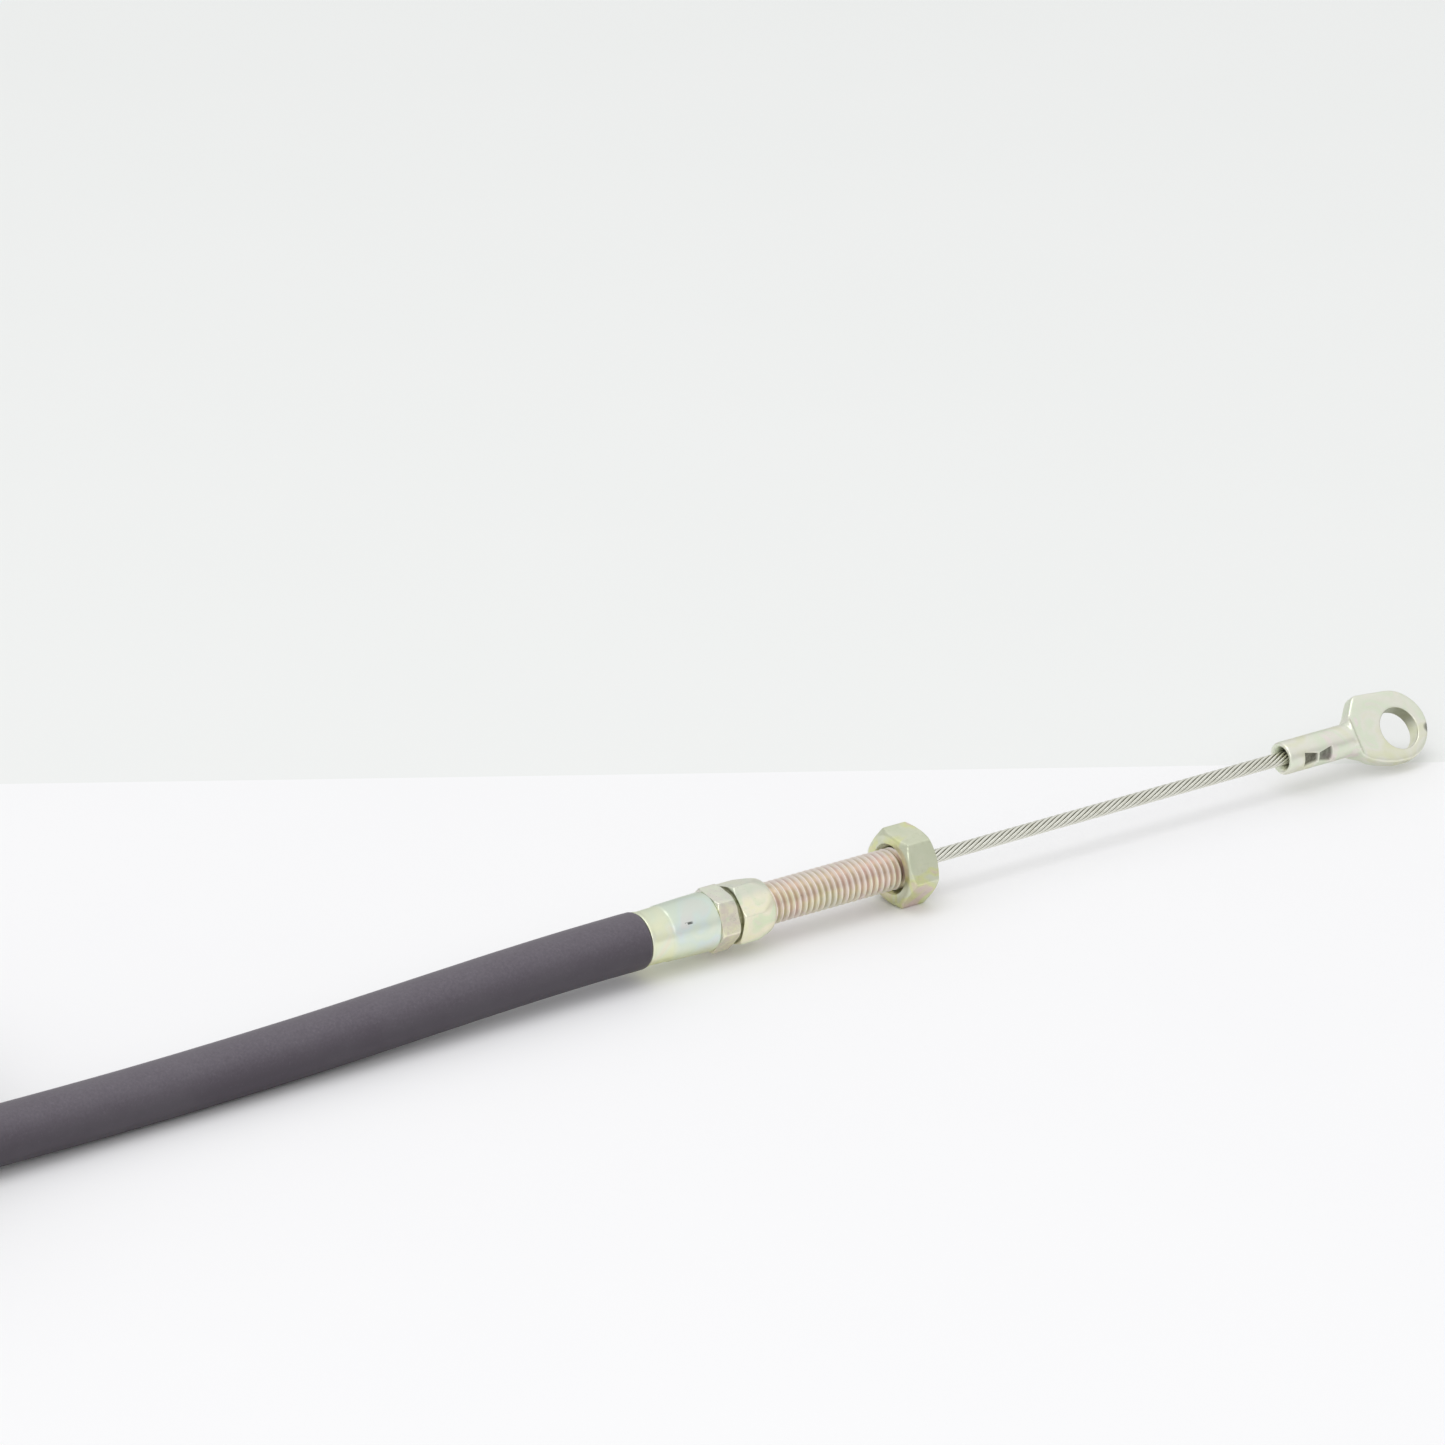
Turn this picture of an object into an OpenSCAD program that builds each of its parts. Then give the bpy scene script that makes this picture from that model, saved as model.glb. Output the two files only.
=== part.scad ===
// Flexible pull cable: a steel inner wire that slides in an armoured conduit.
// Each end has a crimped ferrule, a hexagon hub with a long adjusting thread,
// a mounting nut and a crimped eye. The spare conduit is folded into a tied hank.
// Units are millimetres. +X runs along the near end towards its eye, +Z is up,
// and the floor is z = 0. The origin is under the middle of the near end.

/* [Thread and nut] */
// Outside diameter of the hub's adjusting thread
thread_d = 5.9; // [5.8:0.05:6]
// Length of the adjusting thread, from the hub's face
thread_len = 27.5; // [26:0.5:30]
// Distance across the flats of the mounting nut
nut_af = 10; // [9.8:0.1:11]
// Thickness of the mounting nut
nut_m = 4.9; // [4:0.1:5.2]
// Gap between the hub's face and the near nut
nut_gap = 21.8; // [10:0.1:22.5]
// Turn of the nut about the cable, from corner up
nut_turn = 37; // [31:1:59]

/* [Hub] */
// Distance across the flats of the hub's hexagon
hub_af = 8; // [7.6:0.1:9]
// Length of the main hexagon, with its chamfered nose
hex_len = 5.65; // [5:0.05:8]
// Length of the chamfered nose
nose_len = 2.6; // [1:0.1:3]
// Radius of the nose at the hub's face
nose_r = 3.8; // [3.5:0.05:3.9]
// Width of the groove between hexagon and flange
groove_w = 0.65; // [0.4:0.05:1]
// Length of the rear hexagon flange
flange_len = 3; // [2:0.1:4]
// Turn of the hub's hexagon, from corner up
hub_turn = 16; // [0:1:59]
// Turn of the rear flange, from corner up
flange_turn = 40; // [0:1:59]

/* [Ferrule] */
// Length of the crimped ferrule
ferrule_len = 11.2; // [10:0.1:14]
// Outside diameter of the ferrule at the conduit
ferrule_d1 = 7.7; // [7.4:0.1:7.9]
// Outside diameter of the ferrule at the hub
ferrule_d2 = 8.2; // [7.8:0.1:8.6]

/* [Conduit] */
// Outside diameter of the conduit's jacket
jacket_d = 8; // [7.9:0.05:8]
// Outside diameter of the steel armour
armour_d = 5.56; // [5.4:0.02:5.6]
// Outside diameter of the plastic liner
liner_d = 2.84; // [2.8:0.02:2.84]
// Bore of the plastic liner
liner_bore = 2.08; // [2.04:0.01:2.1]

/* [Inner wire and eye] */
// Diameter of the stranded inner wire
wire_d = 1.95; // [1.85:0.05:1.95]
// Bare wire between the near hub and its eye
near_bare = 63; // [50:0.5:65]
// Bare wire between the far hub and its eye
far_bare = 13; // [11:0.5:13]
// Stroke of the inner wire
stroke = 38; // [20:1:38]
// Outside diameter of the eye's crimped shank
shank_d = 4.75; // [4.6:0.05:5]
// Length of the eye's crimped shank
shank_len = 12.3; // [10:0.1:12.5]
// Thickness of the eye's flat
eye_t = 2.4; // [2:0.1:2.8]
// Diameter of the hole in the eye
eye_hole = 6.2; // [5:0.1:6.4]
// Radius of the rounded end of the eye
eye_r = 5.3; // [5.1:0.1:5.4]
// Lean of the eye's flat from upright
eye_lean = 39; // [0:1:40]

/* [Hidden] */

fine = 96;
hub_len = hex_len + groove_w + flange_len;
hub_ac = hub_af * 2 / sqrt(3);
nose_rise = hub_ac / 2 - nose_r;
eye_len = 25.5;
hole_x = eye_len - 5;              // centre of the eye's hole, along and across
hole_w = -0.6;
total = ferrule_len + hub_len + thread_len + near_bare + eye_len;
// places along the near end
x_fer = -total / 2;               // rear of the ferrule
x_hub = x_fer + ferrule_len;      // rear of the hub
x_thr = x_hub + hub_len;          // hub's face, start of the thread
x_end = x_thr + thread_len;       // end of the thread
x_eye = x_end + near_bare;        // mouth of the near eye
nut_r = nut_af / sqrt(3);
axis_z = nut_r * cos(60 - nut_turn);   // the nut's lowest corner is on the floor
spigot_r = 3.2;
spigot_len = 3;
bore_r = liner_d / 2 + 0.02;
hide = 7;                         // wire left inside the thread at full reach

// the hank: straight runs from run_x0 back to run_x1, folds of fold_r
run_x0 = -195;
run_x1 = -345;
run_y = -3;
fold_r = 26;
far_y = run_y + 2 * fold_r;
tie_t = 1;
low_z = tie_t + jacket_d / 2;     // centre of the lower layer
up_z = low_z + jacket_d;          // centre of the upper layer
deck_z = tie_t + jacket_d;        // top of the lower layer
far_x = -320;                     // rear of the far ferrule
far_dx = far_x - x_fer;

// centreline of the near conduit, from the ferrule to the hank
near_route = [[x_fer, 0, axis_z], [-75, 0, 5.3], [-90, -0.3, 5.1],
              [-105, -0.7, 4.7], [-120, -1.1, 4.3], [-135, -1.5, 4.1],
              [-150, -1.9, 4.1], [-165, -2.4, 4.4], [-180, -2.8, 4.8],
              [run_x0, run_y, low_z]];
// centreline of the far conduit, from the hank to the far ferrule
far_route = [[run_x1, far_y, up_z], [-340, far_y, up_z], [-335, far_y, 13.05],
             [-330, far_y, 13.4], [-324.5, far_y, 14], [far_x, far_y, deck_z + axis_z]];

function unit(v) = v / norm(v);
// direction of the route at point i
function aim(p, i) = unit(p[min(i + 1, len(p) - 1)] - p[max(i - 1, 0)]);
function flat_end(p, i, a) = (i == 0 || i == len(p) - 1) ? [-1, 0, 0] * a : aim(p, i);
// ring of n points of radius r round point i
function ring(p, i, r, n) =
    let (s0 = p[len(p) - 1][0] > p[0][0] ? -1 : 1, t = flat_end(p, i, s0),
         s = unit(cross(t, [0, 0, 1])), u = cross(s, t))
    [for (k = [0 : n - 1]) let (a = 360 * (k + 0.5) / n) p[i] + r * (cos(a) * s + sin(a) * u)];
function side_faces(m, n, o, flip) =
    [for (i = [0 : m - 2]) for (k = [0 : n - 1])
        let (a = o + i * n + k, b = o + i * n + (k + 1) % n, c = b + n, d = a + n)
        flip ? [a, d, c, b] : [a, b, c, d]];

// solid round bar swept along a route
module bar(p, r, n) {
    m = len(p);
    pts = [for (i = [0 : m - 1]) each ring(p, i, r, n)];
    polyhedron(points = pts,
        faces = concat(side_faces(m, n, 0, false),
            [[for (k = [n - 1 : -1 : 0]) k]],
            [[for (k = [0 : n - 1]) (m - 1) * n + k]]), convexity = 6);
}

// hollow tube swept along a route
module pipe(p, ro, ri, n) {
    m = len(p);
    o = m * n;
    pts = [for (i = [0 : m - 1]) each ring(p, i, ro, n),
           for (i = [0 : m - 1]) each ring(p, i, ri, n)];
    polyhedron(points = pts,
        faces = concat(side_faces(m, n, 0, false), side_faces(m, n, o, true),
            [for (k = [0 : n - 1]) let (j = (k + 1) % n) [k, o + k, o + j, j]],
            [for (k = [0 : n - 1]) let (j = (k + 1) % n, e = (m - 1) * n)
                [e + k, e + j, o + e + j, o + e + k]]), convexity = 6);
}

// hexagon bar along +X, a corner up when turn is 0
module hex_bar(af, l, turn) {
    rotate([turn, 0, 0]) rotate([0, 90, 0]) cylinder(h = l, r = af / sqrt(3), $fn = 6);
}

// profile of [radius, distance] turned about +X
module turned(pts) {
    rotate([0, 90, 0]) rotate_extrude($fn = fine) polygon(pts);
}

// round bar along +X
module rod(l, r1, r2 = -1) {
    rotate([0, 90, 0]) cylinder(h = l, r1 = r1, r2 = r2 < 0 ? r1 : r2, $fn = fine);
}

// ---- pieces of one cable end, along +X, at the axis ----

// hub: rear spigot, hexagon flange, groove, hexagon with nose, thread
module hub_body() {
    difference() {
        union() {
            translate([-spigot_len, 0, 0]) rod(spigot_len + 0.5, spigot_r);
            hex_bar(hub_af, flange_len, flange_turn);
            translate([flange_len - 0.1, 0, 0]) rod(groove_w + 0.2, hub_af / 2 - 0.15);
            translate([flange_len + groove_w, 0, 0]) intersection() {
                hex_bar(hub_af, hex_len, hub_turn);
                turned([[0, 0], [hub_ac / 2 + 0.2, 0], [hub_ac / 2 + 0.2, hex_len - nose_len - 0.2 * nose_len / nose_rise],
                        [nose_r, hex_len], [0, hex_len]]);
            }
            translate([hub_len - 0.5, 0, 0]) rod(thread_len - 0.1, thread_d / 2);
            translate([hub_len + thread_len - 0.6, 0, 0])
                rod(0.6, thread_d / 2, thread_d / 2 - 0.6);
        }
        translate([-spigot_len - 1, 0, 0])
            rod(spigot_len + hub_len + thread_len + 2, bore_r);
    }
}

// ferrule: tapered sleeve over the armour and the hub's spigot
module ferrule_body() {
    difference() {
        rod(ferrule_len, ferrule_d1 / 2, ferrule_d2 / 2);
        translate([-1, 0, 0]) rod(ferrule_len + 2, armour_d / 2 + 0.04);
        translate([ferrule_len - spigot_len, 0, 0]) rod(spigot_len + 1, spigot_r + 0.02);
    }
}

// nut: hexagon with both rims chamfered and a countersunk bore
module nut_body() {
    c = (nut_r + 0.2 - 0.475 * nut_af) * tan(30);
    difference() {
        intersection() {
            hex_bar(nut_af, nut_m, nut_turn);
            turned([[0, 0], [0.475 * nut_af, 0], [nut_r + 0.2, c], [nut_r + 0.2, nut_m - c],
                    [0.475 * nut_af, nut_m], [0, nut_m]]);
        }
        translate([-1, 0, 0]) rod(nut_m + 2, thread_d / 2 + 0.05);
        translate([-0.01, 0, 0]) rod(0.6, thread_d / 2 + 0.65, thread_d / 2 + 0.05);
        translate([nut_m - 0.59, 0, 0]) rod(0.6, thread_d / 2 + 0.05, thread_d / 2 + 0.65);
    }
}

// eye: bored and crimped shank, flared to a drilled flat with a round end
module eye_body() {
    difference() {
        union() {
            rod(shank_len + 0.6, shank_d / 2);
            rotate([-eye_lean, 0, 0]) rotate([90, 0, 0])
                translate([0, 0, -eye_t / 2]) linear_extrude(eye_t) union() {
                    translate([eye_len - eye_r, 0]) circle(r = eye_r, $fn = fine);
                    polygon([[shank_len - 0.3, shank_d / 2], [shank_len + 3, 5.7],
                             [eye_len - eye_r, eye_r], [eye_len - eye_r, -eye_r],
                             [shank_len + 6, -5.25], [shank_len + 1.9, -4],
                             [shank_len - 0.6, -shank_d / 2]]);
                }
        }
        translate([-1, 0, 0]) rod(shank_len - 0.5, wire_d / 2 + 0.02);
        translate([-0.01, 0, 0]) rod(1.5, 1.8, wire_d / 2);
        rotate([-eye_lean, 0, 0]) rotate([90, 0, 0])
            translate([hole_x, hole_w, -eye_t]) cylinder(h = 2 * eye_t, d = eye_hole, $fn = fine);
        // two crimp flats, and the same on the far side
        for (s = [-1, 1]) rotate([96, 0, 0]) for (x = [2.6, 5.3])
            translate([x, -2.5, s > 0 ? shank_d / 2 - 0.4 : -shank_d / 2 - 2.6])
                cube([2.3, 5, 3]);
    }
}

// liner tube inside the hub and the ferrule
module liner_body() {
    difference() {
        rod(ferrule_len + hub_len + thread_len - 0.5, liner_d / 2);
        translate([-1, 0, 0]) rod(ferrule_len + hub_len + thread_len + 2, liner_bore / 2);
    }
}

// one band with its lock head, round two stacked lengths of conduit
module tie(x, y) {
    w = jacket_d + 0.1;
    h = 2 * jacket_d + 0.05;
    translate([x - 1.8, y, 0]) {
        difference() {
            translate([0, -w / 2 - tie_t, 0]) cube([3.6, w + 2 * tie_t, h + 2 * tie_t]);
            translate([-1, -w / 2, tie_t]) cube([5.6, w, h]);
        }
        translate([-0.7, -2.6, h + 2 * tie_t - 0.2]) cube([5, 5.2, 3]);
    }
}

// ---- near end ----
module near_hub() { color("#c9c68f") translate([x_hub, 0, axis_z]) hub_body(); }
module near_ferrule() { color("#cfd2b8") translate([x_fer, 0, axis_z]) ferrule_body(); }
module near_mounting_nut() {
    color("#a3a687") translate([x_thr + nut_gap, 0, axis_z]) nut_body();
}
module near_inner_wire() {
    color("#b9b9a8") translate([x_end - hide, 0, axis_z])
        rod(hide + near_bare + shank_len - 1.6, wire_d / 2);
}
module near_eye() { color("#b9bb96") translate([x_eye, 0, axis_z]) eye_body(); }
module near_liner() { color("#e9e6dc") translate([x_fer, 0, axis_z]) liner_body(); }

// ---- conduit between the near ferrule and the hank ----
module conduit_jacket() { color("#4d464f") pipe(near_route, jacket_d / 2, 2.9, 12); }
module conduit_armour() {
    color("#8d9094")
        pipe(concat([[x_hub - spigot_len - 0.1, 0, axis_z]], near_route), armour_d / 2, 1.5, 12);
}
module conduit_liner() { color("#e9e6dc") pipe(near_route, liner_d / 2, 1.1, 8); }
module conduit_wire() { color("#b9b9a8") bar(near_route, 0.96, 8); }

// ---- hank of spare conduit ----
// plan of a fold at the end of the runs
module fold_plan(x, s) {
    translate([x, run_y + fold_r]) intersection() {
        difference() {
            circle(r = fold_r + jacket_d / 2, $fn = fine);
            circle(r = fold_r - jacket_d / 2, $fn = fine);
        }
        translate([s > 0 ? 0 : -60, -60]) square([60, 120]);
    }
}
module run_plan(y) {
    translate([run_x1, y - jacket_d / 2]) square([run_x0 - run_x1, jacket_d]);
}
// two lower runs joined by the fold at the rear
module hank_lower() {
    color("#4d464f") translate([0, 0, tie_t]) linear_extrude(jacket_d) union() {
        run_plan(run_y);
        run_plan(far_y);
        fold_plan(run_x1, -1);
    }
}
// front fold that climbs from the lower layer to the upper one
module hank_crossover() {
    color("#4d464f") {
        translate([0, 0, deck_z]) linear_extrude(jacket_d) fold_plan(run_x0, 1);
        translate([0, 0, tie_t]) linear_extrude(jacket_d + 1) intersection() {
            fold_plan(run_x0, 1);
            translate([run_x0, run_y + fold_r]) square([60, 60]);
        }
    }
}
module hank_upper_run() {
    color("#4d464f") translate([0, 0, deck_z]) linear_extrude(jacket_d) run_plan(run_y);
}
module hank_upper_fold() {
    color("#4d464f") translate([0, 0, deck_z]) linear_extrude(jacket_d) fold_plan(run_x1, -1);
}
module far_jacket() { color("#4d464f") bar(far_route, jacket_d / 2, 12); }
module hank_ties() {
    color("#2f2c31") { tie(-225, run_y); tie(-315, run_y); tie(-341, far_y); }
}

// ---- far end, laid on the hank ----
module at_far(x) { translate([x + far_dx, far_y, deck_z + axis_z]) children(); }
module far_hub() { color("#c9c68f") at_far(x_hub) hub_body(); }
module far_ferrule() { color("#cfd2b8") at_far(x_fer) ferrule_body(); }
module far_mounting_nut() { color("#a3a687") at_far(x_thr + nut_gap) nut_body(); }
module far_inner_wire() {
    color("#b9b9a8") at_far(x_end - hide - stroke)
        rod(hide + stroke + far_bare + shank_len - 1.6, wire_d / 2);
}
module far_eye() { color("#b9bb96") at_far(x_end + far_bare) eye_body(); }
module far_liner() { color("#e9e6dc") at_far(x_fer) liner_body(); }

near_hub();
near_ferrule();
near_mounting_nut();
near_inner_wire();
near_eye();
near_liner();
conduit_jacket();
conduit_armour();
conduit_liner();
conduit_wire();
hank_lower();
hank_crossover();
hank_upper_run();
hank_upper_fold();
far_jacket();
far_hub();
far_ferrule();
far_mounting_nut();
far_inner_wire();
far_eye();
far_liner();
hank_ties();
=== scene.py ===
import math
import bpy
import bmesh
from mathutils import Matrix, Vector, noise


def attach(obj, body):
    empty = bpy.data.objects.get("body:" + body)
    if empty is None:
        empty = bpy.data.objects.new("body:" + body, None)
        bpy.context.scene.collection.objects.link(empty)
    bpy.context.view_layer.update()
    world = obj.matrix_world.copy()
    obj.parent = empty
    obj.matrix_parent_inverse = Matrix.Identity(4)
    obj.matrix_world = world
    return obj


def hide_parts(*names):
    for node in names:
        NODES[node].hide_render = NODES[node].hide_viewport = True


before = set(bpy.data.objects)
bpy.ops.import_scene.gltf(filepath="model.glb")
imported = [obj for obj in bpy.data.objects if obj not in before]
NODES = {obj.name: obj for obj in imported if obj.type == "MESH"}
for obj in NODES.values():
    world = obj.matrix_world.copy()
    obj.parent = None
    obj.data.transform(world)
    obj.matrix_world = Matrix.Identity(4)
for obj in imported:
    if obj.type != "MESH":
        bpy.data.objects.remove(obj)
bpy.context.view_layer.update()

MM = 0.001

# ---------------------------------------------------------------- sizes, in mm
AXIS_Z = 5.3145            # height of the near cable's axis
X_FER = -68.25             # rear of the ferrule
X_HUB = -57.05             # rear of the hub
X_THR = -47.75             # hub's face
X_END = -20.25             # end of the thread
X_NUT = -25.95             # left face of the nut
X_EYE = 42.75              # mouth of the near eye
NEAR = Vector((0, 0, AXIS_Z))
FAR_SHIFT = Vector((-251.75, 49, 9))   # near end to far end, but for its shorter bare wire
FAR_EYE_X = -259.0

# ------------------------------------------------------------------- camera
# f is the focal length in pixels of a 1445 px frame
F_PX = 10000.0
ELEV = math.radians(21.9)
AZIM = math.radians(35.8)
DIST = 1370.0
V = Vector((math.sin(AZIM) * math.cos(ELEV), math.cos(AZIM) * math.cos(ELEV), -math.sin(ELEV)))
R = Vector((math.cos(AZIM), -math.sin(AZIM), 0))
U = Vector((math.sin(AZIM) * math.sin(ELEV), math.cos(AZIM) * math.sin(ELEV), math.cos(ELEV)))
AIM = Vector((X_NUT, 0, AXIS_Z))
ax, ay = (889.0 - 722.5) / F_PX, -(869.2 - 722.5) / F_PX
CAM = AIM - V * DIST - R * (ax * DIST) - U * (ay * DIST)


cam_data = bpy.data.cameras.new("camera")
cam_data.sensor_width = 36.0
cam_data.lens = 36.0 * F_PX / 1445.0
cam_data.clip_start = 0.05
cam_data.clip_end = 100.0
cam = bpy.data.objects.new("camera", cam_data)
bpy.context.scene.collection.objects.link(cam)
cam.matrix_world = Matrix((
    (R.x, U.x, -V.x, CAM.x * MM),
    (R.y, U.y, -V.y, CAM.y * MM),
    (R.z, U.z, -V.z, CAM.z * MM),
    (0, 0, 0, 1)))
bpy.context.scene.camera = cam


# ------------------------------------------------------------- mesh helpers
def add_object(name, me):
    ob = bpy.data.objects.new(name, me)
    bpy.context.scene.collection.objects.link(ob)
    return ob


def finish_mesh(name, bm, origin, mats, sharp=None, tidy=1e-6):
    """bm is in mm about origin; the result is in metres in the row frame, with its own place kept in lp."""
    bmesh.ops.remove_doubles(bm, verts=bm.verts, dist=tidy)
    bmesh.ops.dissolve_degenerate(bm, edges=bm.edges, dist=tidy)
    bmesh.ops.recalc_face_normals(bm, faces=bm.faces)
    me = bpy.data.meshes.new(name)
    bm.to_mesh(me)
    bm.free()
    lp = me.attributes.new("lp", "FLOAT_VECTOR", "POINT")
    for i, v in enumerate(me.vertices):
        lp.data[i].vector = v.co
    o = Vector(origin)
    for v in me.vertices:
        v.co = (v.co + o) * MM
    for m in mats:
        me.materials.append(m)
    for p in me.polygons:
        p.use_smooth = True
    if sharp:
        me.set_sharp_from_angle(angle=math.radians(sharp))
    me.update()
    return add_object(name, me)


def strip(bm, a, b, mat=0, closed=True):
    """quads between two rings of verts"""
    n = len(a)
    out = []
    for k in range(n if closed else n - 1):
        j = (k + 1) % n
        vs = [a[k], a[j], b[j], b[k]]
        if len(set(vs)) >= 3:
            try:
                f = bm.faces.new(vs)
                f.material_index = mat
                out.append(f)
            except ValueError:
                pass
    return out


def polar(x, r, a):
    """point at angle a (degrees from up towards -Y) and radius r round the X axis"""
    t = math.radians(a)
    return Vector((x, -r * math.sin(t), r * math.cos(t)))


def smin(vals, k):
    m = min(vals)
    return m - math.log(sum(math.exp(-k * (v - m)) for v in vals)) / k


def hex_r(af, turn, a, k=16.0):
    """radius of a hexagon bar with slightly rounded corners at angle a"""
    d = (a - turn) % 60.0
    r1 = 0.5 * af / math.cos(math.radians(30 - d))
    r0 = 0.5 * af / max(0.05, math.cos(math.radians(30 + d)))
    r2 = 0.5 * af / max(0.05, math.cos(math.radians(90 - d)))
    return smin([r1, r0, r2], k)


def hex_angles(turn):
    offs = [0, 0.5, 1.1, 1.9, 3.0, 4.6, 7, 10, 14, 19, 24.5]
    out = []
    for s in range(6):
        c = turn + 60 * s
        half = [c + o for o in offs] + [c + 30] + [c + 60 - o for o in reversed(offs[1:])]
        out += half
    return out


# ------------------------------------------------------------- materials
class Mat:
    """small helper round one material's node tree"""

    def __init__(self, name):
        self.m = bpy.data.materials.new(name)
        self.m.use_nodes = True
        self.t = self.m.node_tree
        self.t.nodes.clear()
        self.out = self.t.nodes.new("ShaderNodeOutputMaterial")
        self.p = self.t.nodes.new("ShaderNodeBsdfPrincipled")
        self.link(self.p.outputs[0], self.out.inputs[0])

    def link(self, a, b):
        self.t.links.new(a, b)

    def node(self, kind, **props):
        n = self.t.nodes.new(kind)
        for k, v in props.items():
            setattr(n, k, v)
        return n

    def feed(self, sock, v):
        if isinstance(v, (int, float)):
            sock.default_value = v
        elif isinstance(v, (tuple, list)):
            sock.default_value = list(v) + ([1.0] if len(v) == 3 and len(sock.default_value) == 4 else [])
        else:
            self.link(v, sock)

    def math(self, op, a, b=0.0, c=None, clamp=False):
        n = self.node("ShaderNodeMath", operation=op, use_clamp=clamp)
        self.feed(n.inputs[0], a)
        self.feed(n.inputs[1], b)
        if c is not None:
            self.feed(n.inputs[2], c)
        return n.outputs[0]

    def step(self, v, lo, hi):
        n = self.node("ShaderNodeMapRange", interpolation_type="SMOOTHSTEP")
        self.feed(n.inputs["Value"], v)
        n.inputs["From Min"].default_value = lo
        n.inputs["From Max"].default_value = hi
        return n.outputs[0]

    def place(self, scale=(1, 1, 1), shift=(0, 0, 0), local=True):
        """coordinates in mm, in the piece's own place"""
        if local:
            src = self.node("ShaderNodeAttribute", attribute_name="lp").outputs["Vector"]
            s = scale
        else:
            src = self.node("ShaderNodeTexCoord").outputs["Object"]
            s = [c * 1000.0 for c in scale]
        mp = self.node("ShaderNodeMapping")
        self.link(src, mp.inputs["Vector"])
        mp.inputs["Scale"].default_value = s
        mp.inputs["Location"].default_value = shift
        return mp.outputs[0]

    def noise(self, vec, scale=1.0, detail=3.0, rough=0.5, distort=0.0):
        n = self.node("ShaderNodeTexNoise")
        self.link(vec, n.inputs["Vector"])
        n.inputs["Scale"].default_value = scale
        n.inputs["Detail"].default_value = detail
        n.inputs["Roughness"].default_value = rough
        n.inputs["Distortion"].default_value = distort
        return n.outputs["Fac"]

    def split(self, vec):
        n = self.node("ShaderNodeSeparateXYZ")
        self.link(vec, n.inputs[0])
        return n.outputs

    def ramp(self, fac, stops):
        n = self.node("ShaderNodeValToRGB")
        cr = n.color_ramp
        while len(cr.elements) > 2:
            cr.elements.remove(cr.elements[-1])
        for i, (p, c) in enumerate(stops):
            e = cr.elements[i] if i < 2 else cr.elements.new(p)
            e.position = p
            e.color = list(c) + [1.0]
        self.link(fac, n.inputs[0])
        return n.outputs[0]

    def mix(self, fac, a, b, blend="MIX"):
        n = self.node("ShaderNodeMix", data_type="RGBA", blend_type=blend)
        self.feed(n.inputs[0], fac)
        self.feed(n.inputs[6], a)
        self.feed(n.inputs[7], b)
        return n.outputs[2]

    def bump(self, height, strength, dist):
        n = self.node("ShaderNodeBump")
        n.inputs["Strength"].default_value = strength
        n.inputs["Distance"].default_value = dist
        self.link(height, n.inputs["Height"])
        self.link(n.outputs[0], self.p.inputs["Normal"])

    def set(self, **kw):
        for k, v in kw.items():
            self.feed(self.p.inputs[k.replace("_", " ")], v)


def srgb(r, g, b):
    def f(c):
        c /= 255.0
        return c / 12.92 if c <= 0.04045 else ((c + 0.055) / 1.055) ** 2.4
    return (f(r), f(g), f(b))


YELLOW = srgb(246, 245, 212)
GREEN = srgb(228, 238, 210)
BLUISH = srgb(224, 236, 234)
PINK = srgb(238, 224, 222)
CREAM = srgb(246, 242, 222)


def plating(name, stops, patch=0.22, seed=0.0, rough=(0.26, 0.42), streak=(0.5, 6, 6), dirt=0.35,
            tweak=None, bump=0.25):
    """zinc plate with a thin yellow passivation that shifts through pale tints in patches"""
    m = Mat(name)
    pos = m.place(shift=(seed, seed * 0.7, -seed))
    big = m.noise(pos, patch, 2.0, 0.55, 0.8)
    big = m.step(big, 0.28, 0.72)
    col = m.ramp(big, stops)
    fine = m.noise(pos, 1.6, 4.0, 0.6)
    col = m.mix(m.math("MULTIPLY", fine, 0.35), col, srgb(240, 236, 218), "MULTIPLY")
    if tweak:
        col = tweak(m, col, pos)
    # small dark specks and worn marks
    speck = m.noise(m.place(shift=(seed + 9, 3, 5)), 4.5, 3.0, 0.7)
    speck = m.step(speck, 0.70, 0.80)
    col = m.mix(m.math("MULTIPLY", speck, dirt), col, srgb(120, 118, 92))
    fil = m.noise(m.place(scale=streak, shift=(seed, 0, 0)), 2.2, 4.0, 0.65)
    ro = m.node("ShaderNodeMapRange")
    m.link(fil, ro.inputs["Value"])
    ro.inputs["From Min"].default_value = 0.3
    ro.inputs["From Max"].default_value = 0.7
    ro.inputs["To Min"].default_value = rough[0]
    ro.inputs["To Max"].default_value = rough[1]
    m.set(Base_Color=col, Metallic=0.92, Roughness=m.math("ADD", ro.outputs[0], m.math("MULTIPLY", speck, 0.2)))
    grain = m.noise(m.place(shift=(seed, 1, 2)), 9.0, 3.0, 0.6)
    h = m.math("ADD", m.math("MULTIPLY", fil, 0.5), m.math("MULTIPLY", grain, 0.5))
    m.bump(h, bump, 0.00004)
    return m.m


def pull_x(m, col, pos_unused, lo, hi, tint, amount):
    """tints the stretch between two places along the cable"""
    x = m.split(m.place())[0]
    band = m.math("MULTIPLY", m.step(x, lo - 0.6, lo + 0.6), m.math("SUBTRACT", 1.0, m.step(x, hi - 0.6, hi + 0.6)))
    return m.mix(m.math("MULTIPLY", band, amount), col, tint)


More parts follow.
